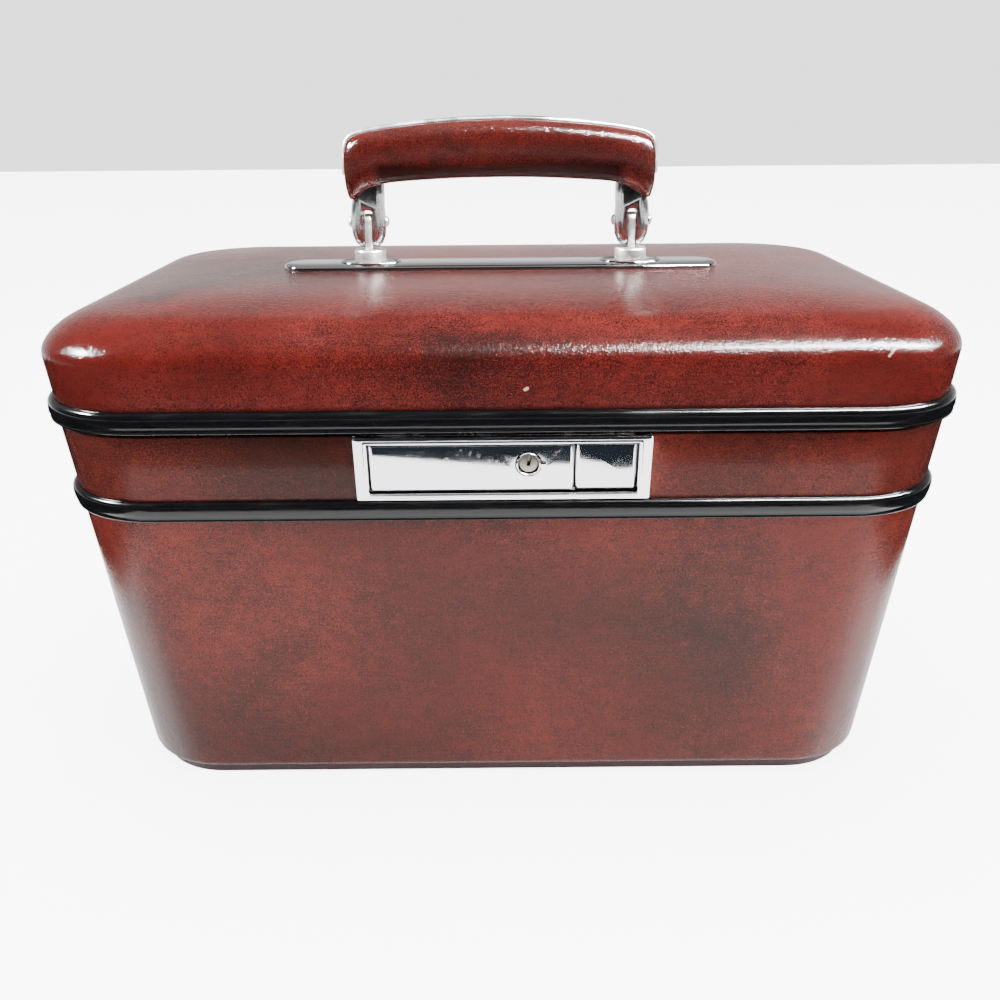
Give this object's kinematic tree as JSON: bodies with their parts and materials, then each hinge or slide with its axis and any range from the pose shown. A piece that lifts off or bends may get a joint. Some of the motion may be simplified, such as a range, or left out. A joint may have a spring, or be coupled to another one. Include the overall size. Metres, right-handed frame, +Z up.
{
  "type": "makeup train case",
  "caption": "Hard-sided train case for cosmetics: tapered body, domed hinged lid with carry handle, front draw latch with key lock, mirror in the lid and lift-out tray.",
  "frame": {"origin": "centre of the underside of the foot plate, on the table", "axes": "+X the case's right seen from the lock side, +Y towards the rear hinges, +Z up"},
  "size_m": [0.3452, 0.2319, 0.2636],
  "materials": {
    "oxblood_vinyl": "glossy mottled oxblood vinyl over board",
    "black_trim": "glossy black extruded trim",
    "chrome": "polished, lightly worn",
    "steel": "dull plated",
    "lining": "satin quilted cloth",
    "foot_board": "matt maroon board",
    "mirror": "silvered glass",
    "tray_plastic": "moulded, satin gloss"
  },
  "bodies": {
    "body": {"body_shell": "oxblood_vinyl", "foot_plate": "foot_board", "lower_band": "black_trim", "body_frame": "steel", "body_lining": "lining", "tray_ledge_left": "lining", "tray_ledge_right": "lining", "hinge_body_leaf_left": "chrome", "hinge_body_leaf_right": "chrome", "hinge_pin_left": "steel", "hinge_pin_right": "steel", "rivet_body_left_1": "steel", "rivet_body_left_2": "steel", "rivet_body_right_1": "steel", "rivet_body_right_2": "steel", "lock_bezel": "chrome", "lock_pan": "steel", "lock_back_cover": "steel", "hasp_pin": "steel"},
    "lid": {"lid_shell": "oxblood_vinyl", "upper_band": "black_trim", "lid_frame": "steel", "lid_lining": "lining", "mirror": "mirror", "mirror_frame": "chrome", "striker": "steel", "hinge_lid_leaf_left": "chrome", "hinge_lid_leaf_right": "chrome", "rivet_lid_left_1": "steel", "rivet_lid_left_2": "steel", "rivet_lid_right_1": "steel", "rivet_lid_right_2": "steel", "handle_plate": "chrome", "handle_post_left": "chrome", "handle_post_right": "chrome", "handle_nut_left": "steel", "handle_nut_right": "steel"},
    "handle": {"grip": "oxblood_vinyl", "grip_strip": "chrome", "handle_fork_left": "chrome", "handle_fork_right": "chrome", "handle_pin_left": "steel", "handle_pin_right": "steel"},
    "hasp": {"hasp_plate": "chrome", "key_ring": "chrome"},
    "key_plug": {"key_plug": "chrome"},
    "release_button": {"release_button": "chrome"},
    "tray": {"tray": "tray_plastic"}
  },
  "joints": [
    {"name": "lid_hinge", "type": "hinge", "parent": "body", "child": "lid", "pos_m": [0, 0.117, 0.1597], "axis": [-1, 0, 0], "range_deg": [0, 100]},
    {"name": "handle_fold", "type": "hinge", "parent": "lid", "child": "handle", "pos_m": [0, 0, 0.2205], "axis": [1, 0, 0], "range_deg": [-95, 95]},
    {"name": "hasp_swing", "type": "hinge", "parent": "body", "child": "hasp", "pos_m": [0, -0.10736, 0.13708], "axis": [1, 0, 0], "range_deg": [0, 65]},
    {"name": "key_turn", "type": "hinge", "parent": "hasp", "child": "key_plug", "pos_m": [0.0092, -0.10865, 0.1474], "axis": [0, 0.9924, 0.1232], "range_deg": [0, 90]},
    {"name": "button_slide", "type": "slide", "parent": "body", "child": "release_button", "axis": [1, 0, 0], "range_m": [0, 0.003], "stiffness_N_per_m": 150},
    {"name": "tray_lift", "type": "slide", "parent": "body", "child": "tray", "axis": [0, 0, 1], "range_m": [0, 0.02]}
  ]
}
